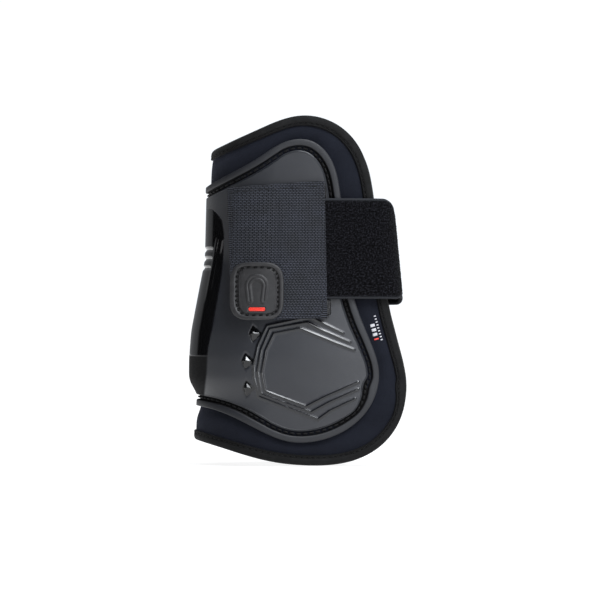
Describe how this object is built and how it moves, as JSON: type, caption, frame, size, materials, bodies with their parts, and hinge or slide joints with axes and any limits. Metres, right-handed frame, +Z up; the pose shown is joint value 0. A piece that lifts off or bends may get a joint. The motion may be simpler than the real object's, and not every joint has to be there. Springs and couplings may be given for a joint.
{
  "type": "hind fetlock boot",
  "caption": "C-shaped hind fetlock boot: moulded shell with raised rim and nested ribs over a taped neoprene lining, closed by a wide wrap-round strap with a peel-off tab and badge.",
  "frame": {"origin": "on the upright line through the leg space, about midway between the boot's back and front, level with its lowest edge", "axes": "+Z up the leg, +X towards the open front, -Y towards the outer side where the strap fastens"},
  "size_m": [0.1055, 0.0818, 0.1671],
  "materials": {
    "shell": "satin to gloss moulded",
    "neoprene": "knit-faced foam",
    "binding": "woven tape",
    "thread": "twisted thread",
    "loop": "brushed loop pile",
    "hook": "hook tape",
    "webbing": "twill weave",
    "badge": "moulded matt",
    "red": "smooth",
    "print": "printed"
  },
  "bodies": {
    "inner_side": {"shell_inner_side": "shell", "neoprene_lining_inner_side": "neoprene", "edge_binding_inner_side": "binding", "binding_seam_inner_side": "thread", "shell_seam_inner_side": "thread", "band_inner_end": "loop", "band_inner_end_seam": "thread"},
    "outer_side": {"shell_outer_side": "shell", "neoprene_lining_outer_side": "neoprene", "edge_binding_outer_side": "binding", "binding_seam_outer_side": "thread", "shell_seam_outer_side": "thread", "loop_patch": "loop", "loop_patch_seam": "thread", "side_mark": "print"},
    "strap_front": {"band_front": "loop"},
    "strap_near": {"band_outer_side": "loop"},
    "strap_tab": {"band_tab_end": "loop", "tab_hook": "hook", "tab_webbing": "webbing", "tab_seam": "thread", "badge": "badge", "badge_inlay": "red"}
  },
  "joints": [
    {"name": "wing_flex", "type": "hinge", "parent": "inner_side", "child": "outer_side", "pos_m": [-0.0556, 0, 0.08], "axis": [0, 0, -1], "range_deg": [0, 22]},
    {"name": "strap_swing", "type": "hinge", "parent": "inner_side", "child": "strap_front", "pos_m": [0.038, 0.03037, 0.1035], "axis": [-0.0946, 0, 0.9955], "range_deg": [0, 110]},
    {"name": "strap_fold", "type": "hinge", "parent": "strap_front", "child": "strap_near", "pos_m": [0.038, -0.0313, 0.1035], "axis": [-0.0946, 0, 0.9955], "range_deg": [0, 100]},
    {"name": "tab_peel", "type": "hinge", "parent": "strap_near", "child": "strap_tab", "pos_m": [0.01655, -0.03665, 0.1035], "axis": [0, 0, 1], "range_deg": [0, 100]}
  ],
  "couplings": [
    {"joint": "wing_flex", "follows": "strap_swing", "ratio": 0.2}
  ]
}
